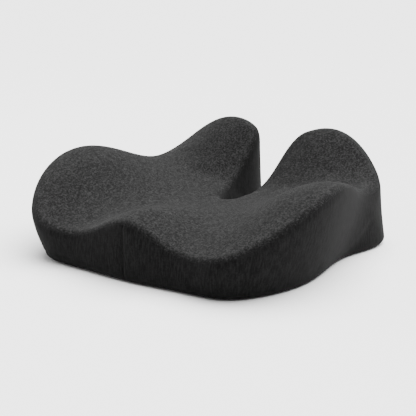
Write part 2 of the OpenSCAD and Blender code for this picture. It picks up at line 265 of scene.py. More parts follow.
def baseBuild(place):  # a ribbed twill, its lines at a slant
    turn = 2 * math.pi / weave["pitch"]
    x, y, _ = place.axes()
    twill = ((x + y) * turn * 0.7).sine()
    weft = ((x - y) * turn * 1.9).sine()
    fibre = place.stretch(1, 1, 0.2).noise(weave["fibre"], 2, 0.6)
    patch = place.noise(weave["patch"], 3, 0.6)
    tone = (twill * 0.16 + weft * 0.1 + (fibre - 0.5) * 0.9 + (patch - 0.5) * 0.4 + 0.5).clip()
    return {"Base_Color": tone.greys((0.1, weave["dark"]), (0.55, weave["mid"]), (0.95, weave["light"])),
            "Normal": (twill * 0.4 + weft * 0.25 + fibre * 0.3).bump(0.5, 0.5 * mm),
            "Roughness": 0.75 + fibre * 0.2}


rubber = {"dust": 260, "fine": 2600, "dark": (0.030, 0.031, 0.033), "mid": (0.050, 0.051, 0.054),
          "dusty": (0.11, 0.11, 0.11)}


def siliconeBuild(place):  # moulded dots, dusty in places
    dust = place.noise(rubber["dust"], 3, 0.65)
    fine = place.noise(rubber["fine"], 1)
    return {"Base_Color": dust.ramp((0.3, rubber["dark"]), (0.6, rubber["mid"]), (0.85, rubber["dusty"])),
            "Normal": (fine + dust * 0.5).bump(0.15, 0.2 * mm),
            "Roughness": 0.32 + dust * 0.35}


herringbone = {"band": 2 * mm, "line": 7000, "slant": 6, "fibre": 2400, "dark": 0.006, "mid": 0.014,
               "light": 0.034}


def tapeBuild(place):  # herringbone: the slant turns round at each band across the tape
    h = herringbone
    x, y, _ = place.axes()
    chevron = (y * (1 / h["band"])).math("PINGPONG", 1)
    twill = (x * h["line"] + chevron * h["slant"]).sine()
    fibre = place.noise(h["fibre"], 2, 0.6)
    tone = (twill * 0.18 + (fibre - 0.5) * 0.9 + 0.5).clip()
    return {"Base_Color": tone.greys((0.1, h["dark"]), (0.5, h["mid"]), (0.95, h["light"])),
            "Normal": (twill * 0.5 + fibre * 0.4).bump(0.5, 0.3 * mm),
            "Roughness": 0.7 + fibre * 0.2}


nylon = {"drawn": 3000, "scuff": 420, "dark": (0.012, 0.012, 0.013), "mid": (0.022, 0.022, 0.023),
         "scuffed": (0.05, 0.05, 0.05)}


def coilBuild(place):  # drawn nylon, scuffed by the slider
    drawn = place.stretch(1, 0.15, 1).noise(nylon["drawn"])
    scuff = place.noise(nylon["scuff"], 3, 0.7)
    tone = (drawn * 0.5 + scuff * 0.6).clip()
    return {"Base_Color": tone.ramp((0.35, nylon["dark"]), (0.65, nylon["mid"]), (0.8, nylon["scuffed"])),
            "Normal": drawn.bump(0.12, 0.1 * mm),
            "Roughness": 0.25 + scuff * 0.3}


enamel = {"rub": 300, "scratch": 700, "coat": (0.035, 0.036, 0.040, 1), "bare": (0.46, 0.46, 0.47, 1)}


def metalBuild(place):  # dark enamel, rubbed through to bright metal in scratches
    rub = place.noise(enamel["rub"], 3, 0.65)
    scratch = place.stretch(1, 9, 1).noise(enamel["scratch"], 2, 0.7)
    bare = ((scratch - 0.62) * 9 + (rub - 0.5) * 2).clip()
    return {"Base_Color": bare.between(enamel["coat"], enamel["bare"]),
            "Metallic": 0.45 + bare * 0.5,
            "Roughness": 0.28 + rub * 0.3,
            "Normal": (rub * 0.4 + scratch * 0.3).bump(0.1, 0.1 * mm)}


pressed = {"grain": 1800, "dark": (0.33, 0.33, 0.34), "light": (0.62, 0.62, 0.63)}


def stopBuild(place):  # pressed aluminium
    grain = place.stretch(1, 0.2, 1).noise(pressed["grain"], 3, 0.6)
    return {"Base_Color": grain.ramp((0.2, pressed["dark"]), (0.8, pressed["light"])),
            "Metallic": 0.85 + grain * 0.15,
            "Roughness": 0.3 + grain * 0.25,
            "Normal": grain.bump(0.2, 0.1 * mm)}


twist = {"along": 9000, "round": 7000, "fibre": 5000, "dark": 0.012, "mid": 0.035, "light": 0.08}


def threadBuild(place):  # plies twisted together
    x, y, z = place.axes()
    ply = (x * twist["along"] + (y + z) * twist["round"]).sine()
    fibre = place.noise(twist["fibre"], 2, 0.6)
    tone = (ply * 0.25 + (fibre - 0.5) * 0.8 + 0.5).clip()
    return {"Base_Color": tone.greys((0.1, twist["dark"]), (0.6, twist["mid"]), (0.95, twist["light"])),
            "Normal": (ply * 0.6 + fibre * 0.3).bump(0.5, 0.2 * mm),
            "Roughness": 0.6 + fibre * 0.3}


satin = {"weft": 15000, "warp": 9000, "creaseAndShade": 110, "dark": (0.50, 0.50, 0.49),
         "mid": (0.72, 0.72, 0.71), "light": (0.84, 0.84, 0.83)}


def labelBuild(place):  # blank satin ribbon, faintly creased; its tone follows the crease height, painted shade in the hollows and painted highlight on the ridges
    x, y, _ = place.axes()
    weft = (y * satin["weft"]).sine()
    warp = (x * satin["warp"]).sine()
    creaseAndShade = place.stretch(1, 5, 1).noise(satin["creaseAndShade"], 3, 0.6)
    tone = (weft * 0.08 + warp * 0.05 + (creaseAndShade - 0.5) * 0.6 + 0.6).clip()
    return {"Base_Color": tone.ramp((0.2, satin["dark"]), (0.6, satin["mid"]), (0.95, satin["light"])),
            "Normal": (weft * 0.3 + warp * 0.2 + creaseAndShade).bump(0.3, 0.3 * mm),
            "Roughness": 0.4 + creaseAndShade * 0.2}


heatherKnit = finish("heatherKnit", heatherBuild, Sheen_Weight=0.02, Sheen_Roughness=0.5,
                     Specular_IOR_Level=0.1)
shadedRibKnit = finish("shadedRibKnit", ribBuild, Sheen_Weight=0.015, Sheen_Roughness=0.5, Specular_IOR_Level=0.08)
foamCells = finish("foamCells", foamBuild, Specular_IOR_Level=0.2)
linerJersey = finish("linerJersey", jerseyBuild, Sheen_Weight=0.1, Specular_IOR_Level=0.2)
baseTwill = finish("baseTwill", baseBuild, Specular_IOR_Level=0.2)
silicone = finish("silicone", siliconeBuild)
zipTape = finish("zipTape", tapeBuild, Specular_IOR_Level=0.25)
zipCoil = finish("zipCoil", coilBuild)
zipEnamel = finish("zipEnamel", metalBuild)
zipStop = finish("zipStop", stopBuild)
sewingThread = finish("sewingThread", threadBuild)
labelSatin = finish("labelSatin", labelBuild, Sheen_Weight=0.1)


# The skin follows the foam's design: a smooth closed outline, an overhang along it, and soft
# raised areas added to a plain seat. Lengths here are in millimetres.
shape = {
    "planW": 410, "planL": 400, "slotW": 38, "slotMouthW": 34, "slotL": 204,
    "seatH": 53.5, "rise": 0.085, "rimR": 13, "baseR": 8, "floor": 0.8,
    "lobeFlare": 25, "waistFlare": 24, "rearLean": 7, "slotLean": 9.5,
    "wingRim": 1.4, "waistRim": 0.75, "levelAt": 0.487, "steepest": 2.5,
    "spine": ((0, 0.32), (0.36, 0.36), (0.5, 0.8)),  # the seat's middle line, as shares of the plan
}
mouthPoint, tipPoint = 8, 11  # where the outline reaches the slot's mouth and its tip
hw, pl = shape["planW"] / 2, shape["planL"]
raised = [  # height, centre across and along, spread across and along, turn, power
    (91, 0.43 * hw, 1.063 * pl, 77.5, 88, -10, 1.35),
    (75, 0.97 * hw, 0.368 * pl, 70, 97.5, 0, 1),
    (42, 0, 0.046 * pl, 45, 67, 0, 1),
    (8, 0, 0.372 * pl, 72, 81, 0, 1),
]


def planPoints():  # x, y, overhang and rim share of the points that pull the outline
    s = shape
    lobe, waist, lean = s["lobeFlare"], s["waistFlare"], s["rearLean"]
    soft, tight = s["wingRim"], s["waistRim"]
    half = [
        (0, -0.015 * pl, 0, 1),  # the front edge, then round the lobe to the waist
        (0.4 * hw, 0.015 * pl, 0, 1),
        (0.75 * hw, 0.005 * pl, lobe / 2, 1),
        (0.935 * hw, 0.175 * pl, lobe, 1),
        (hw, 0.35 * pl, lobe, 1),
        (0.873 * hw, 0.606 * pl, waist, tight),
        (0.951 * hw, 0.731 * pl, -lean / 7, soft),  # round the rear wing
        (0.992 * hw, 0.898 * pl, -1.5 * lean, soft),
        (0.625 * hw, 1.012 * pl, -lean, soft),
        (s["slotMouthW"] / 2, 0.993 * pl, -lean / 2, soft),  # into the slot, to its tip
        (s["slotW"] / 2, pl - 0.505 * s["slotL"], -s["slotLean"], tight),
        (0, pl - s["slotL"], -2, 1),
    ]
    return np.array(half + [(-x, *rest) for x, *rest in half[-2:0:-1]], float)


def outline(t):  # point and direction on the closed cubic spline
    c = planPoints()
    i = np.floor(t).astype(int)
    u = (t - i)[:, None]
    near = [c[(i + k) % len(c)] for k in (-1, 0, 1, 2)]
    w = 1 - u
    at = (w**3, 3 * u**3 - 6 * u**2 + 4, 3 * w**3 - 6 * w**2 + 4, u**3)
    way = (-w**2, 3 * u**2 - 4 * u, -3 * w**2 + 4 * w, u**2)
    point = sum(a * p for a, p in zip(at, near)) / 6
    along = sum(a * p for a, p in zip(way, near))[:, :2]
    return point, along / np.linalg.norm(along, axis=1)[:, None]


def seatHeight(x, y):
    z = shape["seatH"] + shape["floor"] + shape["rise"] * (y - shape["levelAt"] * pl)
    for height, cx, cy, sx, sy, turn, power in raised:
        c, s = math.cos(math.radians(turn)), math.sin(math.radians(turn))
        for side in ((1, -1) if cx else (1,)):
            dx, dy = side * x - cx, y - cy
            across, along = (dx * c + dy * s) / sx, (dy * c - dx * s) / sy
            z = z + height * np.exp(-0.5 * (across**2 + along**2) ** power)
    return z


cover = {"outerCols": 96, "slotCols": 96, "seatRows": 26, "rimRows": 7, "wallRows": 16, "footRows": 3,
         "seamAt": 0.62, "seamHalf": 1.6, "seamDip": 1.5, "thick": 1.6 * mm, "fill": 0.85,
         "samples": 600, "crowding": 0.9, "rimArc": 1.7}


def columnTurns():  # spline parameters from front centre to slot tip, evenly along each stretch
    turns = []
    near = cover["seamHalf"]  # the upright seams have a column close by on either side
    for first, last, count in ((0, mouthPoint, cover["outerCols"]),
                               (mouthPoint, tipPoint, cover["slotCols"])):
        t = np.linspace(first, last, cover["samples"])
        p = outline(t)[0][:, :2]
        run = np.concatenate([[0], np.cumsum(np.linalg.norm(np.diff(p, axis=0), axis=1))])
        if first == 0:
            want = [[0, near], np.linspace(3 * near, run[-1], count - 1)]
        else:
            want = [np.linspace(0, run[-1] - 3 * near, count - 1), [run[-1] - near, run[-1]]]
        turns.append(np.interp(np.concatenate(want), run, t))
    return np.concatenate([turns[0], turns[1][1:]])


def skinGrid():  # points[row][column], and the rows of the seam between top and side
    s = shape
    t = columnTurns()
    c, way = outline(t)
    foot, flare = c[:, :2], c[:, 2:3]
    out = np.column_stack([way[:, 1], -way[:, 0]])
    radius = s["rimR"] * c[:, 3:4]
    rim = foot + out * flare
    near = rim - out * radius
    slope = seatHeight(*(near + out).T) - seatHeight(*(near - out).T)
    a0 = -np.arctan(np.clip(slope / 2, -s["steepest"], s["steepest"]))[:, None]
    inner = rim - out * radius * (1 - np.sin(a0))
    rimZ = seatHeight(*inner.T)[:, None] - radius * np.cos(a0)
    half = len(t) - 1
    k = (np.minimum(np.arange(half + 1), half - np.arange(half + 1)) / (half / 2))[:, None]
    spine = np.array(s["spine"]) * (hw, pl)
    start = (1 - k) ** 2 * spine[0] + 2 * k * (1 - k) * spine[1] + k**2 * spine[2]
    rows = []
    for f in np.linspace(0, 1, cover["seatRows"] + 1) ** cover["crowding"]:  # the seat, from its middle out
        p = start + (inner - start) * f
        rows.append(np.column_stack([p, seatHeight(*p.T)]))
    step = cover["seamHalf"] / s["rimR"] / cover["rimArc"]
    shares = list(np.linspace(0, cover["seamAt"] - 2 * step, cover["rimRows"] - 1)[1:])
    shares += [cover["seamAt"] - step, cover["seamAt"], cover["seamAt"] + step, 1]
    seam = len(rows) + shares.index(cover["seamAt"])
    for f in shares:  # round the rim
        a = a0 + (math.pi / 2 - a0) * f
        p = inner + out * radius * (np.sin(a) - np.sin(a0))
        rows.append(np.column_stack([p, rimZ + radius * np.cos(a)]))
    footZ = s["baseR"] + s["floor"]
    for f in np.linspace(0, 1, cover["wallRows"] + 1)[1:]:  # down the flared wall
        p = foot + out * flare * (1 - f / 2 - f**2 / 2)
        rows.append(np.column_stack([p, rimZ + (footZ - rimZ) * f]))
    for f in np.linspace(0, math.pi / 2, cover["footRows"] + 1)[1:]:  # under, at the foot
        p = foot - out * s["baseR"] * (1 - math.cos(f))
        rows.append(np.column_stack([p, np.full(len(p), footZ - s["baseR"] * math.sin(f))]))
    grid = np.array(rows)
    low, high = grid[:, :, 1].min(), grid[:, :, 1].max()
    grid[seam:, 0, 1] += cover["seamDip"]
    grid[seam:, -1, 1] -= cover["seamDip"]
    grid[:, :, 1] -= (low + high) / 2
    whole = np.concatenate([grid, grid[:, -2:0:-1] * [-1, 1, 1]], axis=1)
    steps = np.linalg.norm(np.diff(foot, axis=0), axis=1)
    return whole * mm, seam, np.concatenate([[0], np.cumsum(steps)]) * mm


def meshPiece(name, points, faces, *materials):
    mesh = bpy.data.meshes.new(name)
    mesh.from_pydata(points, [], faces)
    mesh.update()
    for material in materials:
        mesh.materials.append(material)
    piece = bpy.data.objects.new(name, mesh)
    bpy.context.scene.collection.objects.link(piece)
    return piece


def makeSkin():  # one closed skin: its faces, knits, unrolled pattern and sewn lines
    grid, seam, run = skinGrid()
    rows, cols = grid.shape[:2]
    half = cols // 2
    ids = np.zeros((rows, cols), int)
    spineIds = {}
    points = []
    for j in range(cols):  # columns that start at the same place on the middle line share a point
        k = min(j, cols - j)
        key = (min(k, half - k), j > half and min(k, half - k) > 0)
        if key not in spineIds:
            spineIds[key] = len(points)
            points.append(grid[0, j])
        ids[0, j] = spineIds[key]
    for i in range(1, rows):
        ids[i] = len(points) + np.arange(cols)
        points.extend(grid[i])
    faces, part, uv = [], [], []
    falls = np.linalg.norm(np.diff(grid, axis=0), axis=2)
    drop = np.concatenate([np.zeros((1, cols)), np.cumsum(falls, axis=0)])  # length run down each column
    for i in range(rows - 1):
        for j in range(cols):
            k = (j + 1) % cols
            faces.append((ids[i, j], ids[i + 1, j], ids[i + 1, k], ids[i, k]))
            part.append(0 if i < seam else 1 if j < half else 2)
            for r, q in ((i, j), (i + 1, j), (i + 1, j + 1), (i, j + 1)):
                u = run[q] if q <= half else 2 * run[half] - run[cols - q]
                at = grid[r, q % cols]
                uv.append((at[0], at[1]) if i < seam else (u, -drop[r, q % cols]))
    skin = meshPiece("skin", [tuple(p) for p in points], faces, heatherKnit, shadedRibKnit, shadedRibKnit)
    mesh = skin.data
    mesh.uv_layers.new(name="cloth").data.foreach_set("uv", np.array(uv).ravel())
    away = np.zeros(len(points))
    for i in range(rows):
        away[ids[i]] = np.abs(drop[seam] - drop[i])
    mesh.attributes.new("fromSeam", "FLOAT", "POINT").data.foreach_set("value", away)
    mesh.polygons.foreach_set("material_index", part)
    pinned = skin.vertex_groups.new(name="sewn")
    sewn = [*ids[seam], *ids[-1], *ids[seam:, 0], *ids[seam:, half]]
    pinned.add([int(v) for v in set(sewn)], 1, "REPLACE")
    edit(skin)
    bpy.ops.mesh.select_all(action="SELECT")
    bpy.ops.mesh.normals_make_consistent(inside=False)
    done()
    return skin


skin = makeSkin()
print("skin", len(skin.data.polygons), "faces")


def copyOf(piece, name):  # an own mesh, at the origin
    twin = bpy.data.objects.new(name, piece.data.copy())
    bpy.context.scene.collection.objects.link(twin)
    return twin


merge = {"near": 0.002 * mm, "flatter": math.radians(0.5)}


def nodeCopy(node, name, *materials):  # a CAD node's shape, merged, to work on
    piece = copyOf(frame["nodes"][node], name)
    piece.data.materials.clear()
    for material in materials:
        piece.data.materials.append(material)
    edit(piece)
    bpy.ops.mesh.select_all(action="SELECT")
    bpy.ops.mesh.remove_doubles(threshold=merge["near"])
    bpy.ops.mesh.dissolve_limited(angle_limit=merge["flatter"])
    done()
    return piece


foam = {"depth": 3.0 * mm, "voxel": 3.6 * mm, "smooth": 6, "recess": (155 * mm, 16.6 * mm, 11.9 * mm)}
liner = {"depth": 1.95 * mm, "thick": 0.5 * mm, "fill": 0.9, "slack": 0.95}


def insideSkin(name, depth, material):  # a copy of the skin, kept at least this far under the cover
    piece = copyOf(core, name)
    piece.data.materials.clear()
    piece.data.materials.append(material)
    modify(piece, "DISPLACE", strength=-depth, mid_level=0)
    outer = BVHTree.FromObject(skin, bpy.context.evaluated_depsgraph_get())
    moved = 0
    for v in piece.data.vertices:
        spot, normal = outer.find_nearest(v.co)[:2]
        if (v.co - spot).dot(normal) > -depth * liner["slack"]:
            v.co = spot - normal * depth
            moved += 1
    piece.data.update()
    print(name, "pressed in at", moved, "points")
    return piece


def makeFoam():
    piece = insideSkin("foamCore", foam["depth"], foamCells)
    edit(piece)
    bpy.ops.mesh.select_all(action="DESELECT")
    bpy.ops.mesh.select_mode(type="EDGE")
    bpy.ops.mesh.select_non_manifold()
    bpy.ops.mesh.edge_face_add()
    done()
    x, y, z = foam["recess"]
    bpy.ops.object.select_all(action="DESELECT")
    bpy.ops.mesh.primitive_cube_add(size=1, location=(0, zipAt, z - x / 2), scale=(2 * x, 2 * y, x))
    cutter = bpy.context.object
    modify(piece, "BOOLEAN", operation="DIFFERENCE", object=cutter, solver="EXACT")
    bpy.data.objects.remove(cutter)
    modify(piece, "REMESH", mode="VOXEL", voxel_size=foam["voxel"])
    modify(piece, "SMOOTH", factor=0.5, iterations=foam["smooth"])
    smooth(piece)
    settle(piece, "cushion", "foam", "foam_core")
    print("foam", len(piece.data.polygons), "faces")


def makeLinerWrap():
    piece = insideSkin("linerWrap", liner["depth"], linerJersey)
    modify(piece, "SOLIDIFY", thickness=liner["thick"], offset=-1)
    smooth(piece)
    settle(piece, "cushion", "liner", "liner_wrap")


puff = {"pressure": 4, "frames": 20, "cap": 2.4 * mm, "quality": 4, "mass": 0.3, "stretch": 15,
        "shear": 5, "bend": 0.5}


def swell(skin):  # the cloth is blown out against its seams and may move only a little
    start = np.array([v.co for v in skin.data.vertices])
    normals = np.array([v.normal for v in skin.data.vertices])
    mod = skin.modifiers.new("Cloth", "CLOTH")
    settings = mod.settings
    settings.quality = puff["quality"]
    settings.mass = puff["mass"]
    settings.tension_stiffness = settings.compression_stiffness = puff["stretch"]
    settings.shear_stiffness = puff["shear"]
    settings.bending_stiffness = puff["bend"]
    settings.use_pressure = True
    settings.uniform_pressure_force = puff["pressure"]
    settings.vertex_group_mass = "sewn"
    settings.pin_stiffness = 1
    settings.effector_weights.gravity = 0
    mod.collision_settings.use_collision = False
    mod.collision_settings.use_self_collision = False
    scene = bpy.context.scene
    for f in range(1, puff["frames"] + 1):
        scene.frame_set(f)
    pick(skin)
    bpy.ops.object.modifier_apply(modifier=mod.name)
    scene.frame_set(1)
    end = np.array([v.co for v in skin.data.vertices])
    move = end - start
    move -= normals * np.minimum((move * normals).sum(axis=1), 0)[:, None]  # never into the foam
    size = np.linalg.norm(move, axis=1)[:, None]
    print("swell: median", round(float(np.median(size)) / mm, 2), "most", round(float(size.max()) / mm, 2))
    cap = puff["cap"] * np.tanh(size / puff["cap"])
    end = start + move / np.maximum(size, 1e-9) * cap
    skin.data.vertices.foreach_set("co", end.ravel())
    skin.data.update()


core = copyOf(skin, "core")
swell(skin)
modify(skin, "SUBSURF", levels=1, render_levels=1)

zipLow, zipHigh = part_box("zipper_tape_front")[0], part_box("zipper_tape_rear")[1]
zipAt = (zipLow.y + zipHigh.y) / 2
makeFoam()
makeLinerWrap()
bpy.data.objects.remove(core)


def separateCover(skin):  # the top panel and the two bands, each a thickness of cloth
    edit(skin)
    bpy.ops.mesh.select_all(action="SELECT")
    bpy.ops.mesh.separate(type="MATERIAL")
    done()
    parts = [o for o in bpy.context.scene.objects if o.type == "MESH" and o.name.startswith("skin")]
    named = {}
    for part in parts:
        across = [v.co.x for v in part.data.vertices]
        if min(across) < -hw * mm / 2 and max(across) > hw * mm / 2:
            named["coverTopPanel"] = part
        else:
            named["coverBandRight" if sum(across) > 0 else "coverBandLeft"] = part
    for name, part in named.items():
        part.name = part.data.name = name
        modify(part, "SOLIDIFY", thickness=cover["thick"], offset=-1)
        smooth(part)
    return named


parts = separateCover(skin)
for name, slot, node in (("coverTopPanel", "heather_knit", "cover_top_panel"),
                         ("coverBandRight", "rib_knit", "cover_side_band_right"),
                         ("coverBandLeft", "rib_knit", "cover_side_band_left")):
    settle(parts[name], "cushion", slot, node)
    print(name, len(parts[name].data.polygons), "faces")


# Base, zip and trimmings

baseRing = skinGrid()[0][-1]
hair = 0.01 * mm  # nearer than this counts as touching
clothAngle, dotAngle, hardAngle = 50, 40, 35  # edges sharper than this stay sharp, in degrees


def flatCloth(name, inside, height, material):  # the base outline as one face, taken in a little
    ahead, behind = np.roll(baseRing, -1, axis=0), np.roll(baseRing, 1, axis=0)
    way = (ahead - behind)[:, :2]
    way /= np.linalg.norm(way, axis=1)[:, None]
    ring = baseRing[:, :2] - np.column_stack([way[:, 1], -way[:, 0]]) * inside
    return meshPiece(name, [(x, y, height) for x, y in ring], [list(range(len(ring)))], material)


def cut(place, normal, **clear):  # a straight cut through all that is being edited
    bpy.ops.mesh.select_all(action="SELECT")
    bpy.ops.mesh.bisect(plane_co=place, plane_no=normal, threshold=0.001 * mm, **clear)


def choose(piece, kind, test):  # select faces or edges by a test on their middle, in edit mode
    done()
    mesh = piece.data
    for group in (mesh.vertices, mesh.edges, mesh.polygons):
        group.foreach_set("select", [False] * len(group))
    if kind == "FACE":
        for face in mesh.polygons:
            face.select = test(face.center)
    else:
        for e in mesh.edges:
            e.select = test((mesh.vertices[e.vertices[0]].co + mesh.vertices[e.vertices[1]].co) / 2)
    bpy.ops.object.mode_set(mode="EDIT")
    bpy.ops.mesh.select_mode(type=kind)


baseCloth = {"thick": 1.6 * mm, "grid": 11 * mm, "lines": 20, "inside": 0.3 * mm, "gap": 0.1 * mm,
             "opening": (140 * mm, 7.5 * mm), "foldTop": 6.9 * mm, "flange": 6.4 * mm, "fold": 1.1 * mm,
             "ripple": 0.22 * mm, "flatNear": 12 * mm, "waves": ((92, 31), (-23, 74))}


def makeBasePanel(name, side, node):  # side is -1 at the front and 1 at the rear
    b = baseCloth
    floorZ = shape["floor"] * mm
    piece = flatCloth(name, b["inside"], floorZ, baseTwill)
    halfL, halfW = b["opening"]
    edge = zipAt + side * halfW
    edit(piece)
    cut((0, zipAt + side * b["gap"], 0), (0, 1, 0), clear_inner=side > 0, clear_outer=side < 0)
    for x in (-halfL, halfL):
        cut((x, 0, 0), (1, 0, 0))
    cut((0, edge, 0), (0, 1, 0))
    choose(piece, "FACE", lambda p: abs(p.x) < halfL and abs(p.y - zipAt) < halfW)
    bpy.ops.mesh.delete(type="FACE")
    for k in range(-b["lines"], b["lines"] + 1):
        cut((k * b["grid"], 0, 0), (1, 0, 0))
        if abs(edge - k * b["grid"]) > 2 * mm:
            cut((0, k * b["grid"], 0), (0, 1, 0))
    choose(piece, "EDGE", lambda p: abs(p.y - edge) < hair and abs(p.x) < halfL)
    bpy.ops.mesh.extrude_region_move(TRANSFORM_OT_translate={"value": (0, 0, b["foldTop"] - floorZ)})
    bpy.ops.mesh.extrude_region_move(TRANSFORM_OT_translate={"value": (0, side * b["flange"], 0)})
    choose(piece, "EDGE", lambda p: abs(p.y - edge) < hair and abs(p.x) < halfL - mm
           and (p.z < floorZ + 10 * hair or p.z > b["foldTop"] - hair))
    bpy.ops.mesh.bevel(offset=b["fold"], segments=3)
    done()
    (ax, ay), (bx, by) = b["waves"]
    for v in piece.data.vertices:  # cloth is never quite flat
        if v.co.z < 1 * mm and abs(v.co.y - zipAt) > b["flatNear"]:
            wave = math.sin(v.co.x * ax + v.co.y * ay) * math.sin(v.co.y * by + v.co.x * bx)
            v.co.z += b["ripple"] * (0.5 + 0.5 * wave)
    modify(piece, "SOLIDIFY", thickness=b["thick"], offset=1)
    smoothByAngle(piece, clothAngle)
    settle(piece, "cushion", "base_fabric", node)


channel = {"thick": 0.5 * mm, "inside": 0.3 * mm, "half": (154 * mm, 16.4 * mm), "flat": 2.75 * mm,
           "roof": 11.1 * mm, "fold": 1.2 * mm}


def makeLinerBase():  # flat liner with a channel over the zip
    c = channel
    piece = flatCloth("linerBase", c["inside"], c["flat"], linerJersey)
    x, y = c["half"]
    edit(piece)
    for k in (-x, x):
        cut((k, 0, 0), (1, 0, 0))
    for k in (-y, y):
        cut((0, zipAt + k, 0), (0, 1, 0))
    choose(piece, "FACE", lambda p: abs(p.x) < x and abs(p.y - zipAt) < y)
    bpy.ops.mesh.extrude_region_move(TRANSFORM_OT_translate={"value": (0, 0, c["roof"] - c["flat"])})
    choose(piece, "EDGE", lambda p: abs(p.x) < x + mm and abs(p.y - zipAt) < y + mm
           and (abs(abs(p.x) - x) < hair or abs(abs(p.y - zipAt) - y) < hair))
    bpy.ops.mesh.bevel(offset=c["fold"], segments=3)
    bpy.ops.mesh.select_all(action="SELECT")
    bpy.ops.mesh.normals_make_consistent(inside=False)
    done()
    modify(piece, "SOLIDIFY", thickness=c["thick"], offset=0)
    smoothByAngle(piece, clothAngle)
    settle(piece, "cushion", "liner", "liner_base")


def islands(node):  # middle and size of each separate solid of a CAD node
    piece = nodeCopy(node, "islands")
    edit(piece)
    bpy.ops.mesh.select_all(action="SELECT")
    bpy.ops.mesh.separate(type="LOOSE")
    done()
    found = []
    for part in [o for o in bpy.context.scene.objects if o.name.startswith("islands")]:
        low, high = Vector(part.bound_box[0]), Vector(part.bound_box[6])
        found.append((tuple((low + high) / 2), tuple(high - low)))
        bpy.data.objects.remove(part)
    return sorted(found)


def spread(pattern, places, name):  # copies of a piece, each with its own mesh, joined into one
    copies = []
    for place in places:
        twin = copyOf(pattern, name)
        twin.data.transform(Matrix.Translation(Vector(place)))
        copies.append(twin)
    bpy.data.objects.remove(pattern)
    pick(*copies)
    bpy.ops.object.join()
    piece = bpy.context.object
    piece.name = piece.data.name = name
    return piece


dots = {"sides": 16, "edgeSides": 28, "sunk": 0.4 * mm, "round": 0.45 * mm, "rim": 0.18, "dish": 0.08 * mm}


def makeDots(node, name):
    found = islands(node)
    size = Vector(found[0][1])
    sides = dots["edgeSides"] if size.x > 6 * mm else dots["sides"]
    bpy.ops.object.select_all(action="DESELECT")
    bpy.ops.mesh.primitive_cylinder_add(vertices=sides, radius=size.x / 2, depth=size.z + dots["sunk"])
    dot = bpy.context.object
    dot.data.materials.append(silicone)
    choose(dot, "FACE", lambda p: p.z < -0.4 * size.z)
    bpy.ops.mesh.bevel(offset=dots["round"], segments=3)
    choose(dot, "FACE", lambda p: p.z < hair - (size.z + dots["sunk"]) / 2)
    bpy.ops.mesh.inset(thickness=size.x * dots["rim"], depth=0)
    bpy.ops.transform.translate(value=(0, 0, dots["dish"]))
    done()
    piece = spread(dot, [(x, y, z + dots["sunk"] / 2) for (x, y, z), _ in found], name)
    smoothByAngle(piece, dotAngle)
    settle(piece, "cushion", "silicone", node)
    print(name, len(found), "dots", len(piece.data.polygons), "faces")


def plate(name, low, high, material, cuts, soft):  # a thin strip with soft edges
    low, high = Vector(low), Vector(high)
    bpy.ops.object.select_all(action="DESELECT")
    bpy.ops.mesh.primitive_cube_add(size=1, location=(low + high) / 2)
    piece = bpy.context.object
    piece.name = piece.data.name = name
    piece.dimensions = high - low
    bpy.ops.object.transform_apply(location=True, rotation=True, scale=True)
    piece.data.materials.append(material)
    edit(piece)
    for k in range(1, cuts):
        cut((low.x + (high.x - low.x) * k / cuts, 0, 0), (1, 0, 0))
    done()
    modify(piece, "BEVEL", width=soft, segments=2, limit_method="ANGLE",
           angle_limit=math.radians(hardAngle))
    return piece


tape = {"cuts": 74, "soft": 0.18 * mm, "bead": 1.6 * mm, "wave": 0.12 * mm, "waveTurn": 210,
        "waveFrom": 8 * mm}


def makeTape(node, name, side):
    low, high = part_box(node)
    piece = plate(name, low, high, zipTape, tape["cuts"], tape["soft"])
    inner = low.y if side > 0 else high.y
    edit(piece)
    cut((0, inner + side * tape["bead"], 0), (0, 1, 0))
    cut((0, inner + side * tape["bead"] * 1.4, 0), (0, 1, 0))
    done()
    for v in piece.data.vertices:
        share = min(1, abs(v.co.y - inner) / tape["waveFrom"])
        v.co.z += tape["wave"] * math.sin(v.co.x * tape["waveTurn"] + side) * share
    smoothByAngle(piece, hardAngle)
    settle(piece, "cushion", "zip_tape", node)


def wound(name, path, radius, material):  # a round wire or thread through a run of points
    curve = bpy.data.curves.new(name, "CURVE")
    curve.dimensions = "3D"
    line = curve.splines.new("POLY")
    line.points.add(len(path) - 1)
    for point, at in zip(line.points, path):
        point.co = (*at, 1)
    curve.bevel_depth = radius
    curve.bevel_resolution = 1
    curve.use_fill_caps = True
    piece = bpy.data.objects.new(name, curve)
    bpy.context.scene.collection.objects.link(piece)
    pick(piece)
    bpy.ops.object.convert(target="MESH")
    piece = bpy.context.object
    piece.data.materials.append(material)
    smooth(piece)
    return piece


coil = {"turn": 2 * mm, "wire": 0.34 * mm, "steps": 14, "reach": 0.75 * mm, "lean": 0.75}


def makeCoil(node, name, side):  # a wound nylon coil; its heads reach between those of the other
    low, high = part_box(node)
    c = coil
    turns = int((high.x - low.x - 2 * c["wire"]) / c["turn"])
    outer, inner = (low.y, high.y) if side < 0 else (high.y, low.y)
    inner -= side * c["reach"]
    middleY, middleZ = (outer + inner) / 2, (low.z + high.z) / 2
    wide = abs(outer - inner) / 2 - c["wire"]
    tall = (high.z - low.z) / 2 - c["wire"]
    first = low.x + c["wire"] + 0.1 * mm
    path = []
    for k in range(turns * c["steps"] + 1):
        a = 2 * math.pi * k / c["steps"]
        x = first + c["turn"] * (a - c["lean"] * math.sin(a)) / (2 * math.pi)
        path.append((x, middleY - side * wide * math.cos(a), middleZ + tall * math.sin(a)))
    piece = wound(name, path, c["wire"], zipCoil)
    settle(piece, "cushion", "zip_coil", node)
    print(name, turns, "turns", len(piece.data.polygons), "faces")


def makeHardware(node, name, body, slot, material, soft):  # the CAD shape with its edges eased
    piece = nodeCopy(node, name, material)
    modify(piece, "BEVEL", width=soft, segments=3, limit_method="ANGLE",
           angle_limit=math.radians(hardAngle), use_clamp_overlap=True)
    smoothByAngle(piece, hardAngle)
    settle(piece, body, slot, node)
    print(name, len(piece.data.polygons), "faces")


